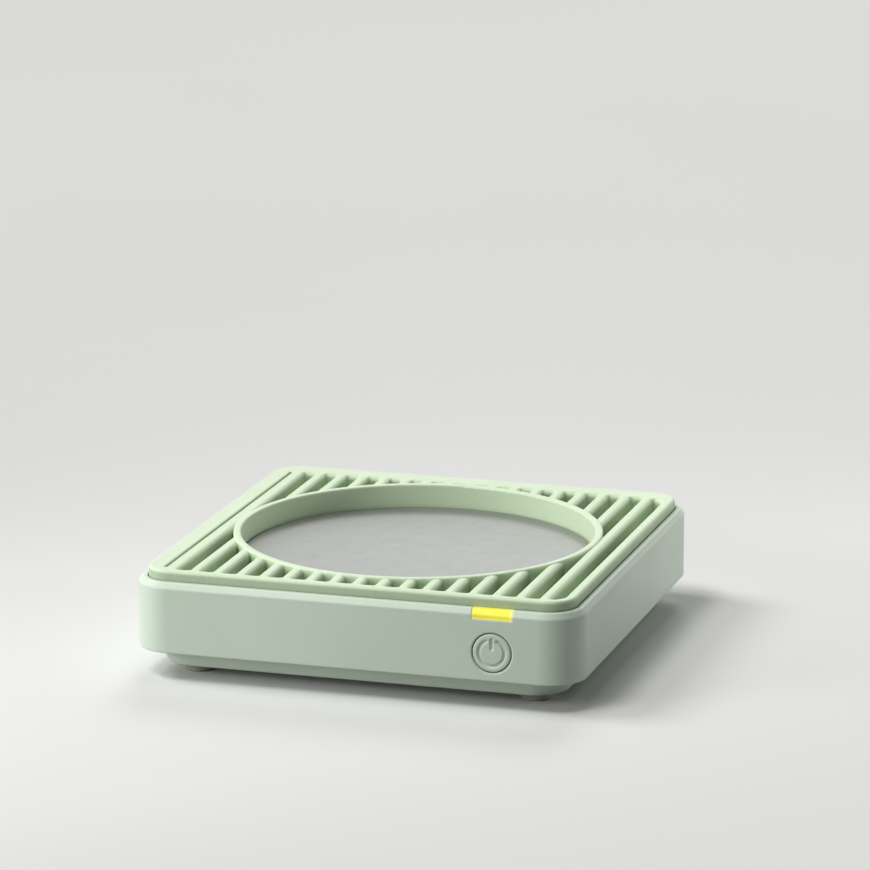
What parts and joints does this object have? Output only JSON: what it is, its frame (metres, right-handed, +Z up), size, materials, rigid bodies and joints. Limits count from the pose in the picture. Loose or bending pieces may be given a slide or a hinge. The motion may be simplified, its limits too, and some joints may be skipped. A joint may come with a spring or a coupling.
{
  "type": "electric mug warmer",
  "caption": "Flat square electric mug warmer: slatted grille cover round a sunken heated plate, front power button and indicator lens, rubber feet.",
  "frame": {"origin": "on the table under the middle of the housing, level with the undersides of the feet", "axes": "+Z up, +Y to the back (the cord gland side), +X to the right seen from the front (the button side)"},
  "size_m": [0.12, 0.12, 0.0292],
  "materials": {
    "body_green": "fine satin",
    "grille_green": "fine satin",
    "base_green": "fine matt",
    "button_green": "fine satin",
    "lens_yellow": "lit, diffusing",
    "plate_grey": "satin, ceramic coated",
    "silicone": "matt",
    "heater_foil": "satin",
    "mica": "flaky satin",
    "fibre_pad": "felted",
    "zinc_steel": "zinc plated",
    "screw_steel": "plated",
    "component_black": "matt",
    "circuit_board": "satin solder mask",
    "led_clear": "clear",
    "foot_rubber": "matt",
    "terminal_green": "satin",
    "capacitor_box": "satin",
    "fuse_glass": "clear",
    "connector_white": "satin",
    "lead_red": "silicone sleeve",
    "lead_white": "PVC sleeve",
    "gland_rubber": "matt"
  },
  "bodies": {
    "warmer": {"body_shell": "body_green", "grille_cover": "grille_green", "base_cover": "base_green", "indicator_lens": "lens_yellow", "heating_plate": "plate_grey", "plate_gasket": "silicone", "heater_element": "heater_foil", "mica_sheet": "mica", "insulation_pad": "fibre_pad", "heater_bracket": "zinc_steel", "bracket_screws": "screw_steel", "thermistor": "component_black", "thermistor_plug": "silicone", "thermal_fuse": "zinc_steel", "tact_switch": "component_black", "switch_board": "circuit_board", "switch_board_screws": "screw_steel", "indicator_led": "led_clear", "base_screws": "screw_steel", "foot_front_left": "foot_rubber", "foot_front_right": "foot_rubber", "foot_rear_left": "foot_rubber", "foot_rear_right": "foot_rubber", "control_board": "circuit_board", "control_board_screws": "screw_steel", "heater_terminals": "terminal_green", "mains_terminals": "terminal_green", "triac": "component_black", "suppression_capacitor": "capacitor_box", "smoothing_capacitor": "component_black", "mains_fuse": "fuse_glass", "fuse_clips": "zinc_steel", "controller_chip": "component_black", "sensor_connector": "connector_white", "cable_connector": "connector_white", "heater_leads": "lead_red", "sensor_leads": "lead_white", "switch_cable": "lead_white", "cord_gland": "gland_rubber"},
    "button": {"power_button": "button_green", "switch_plunger": "component_black"}
  },
  "joints": [
    {"name": "button_press", "type": "slide", "parent": "warmer", "child": "button", "axis": [0, 1, 0], "range_m": [0, 0.0006], "stiffness_N_per_m": 1500}
  ]
}
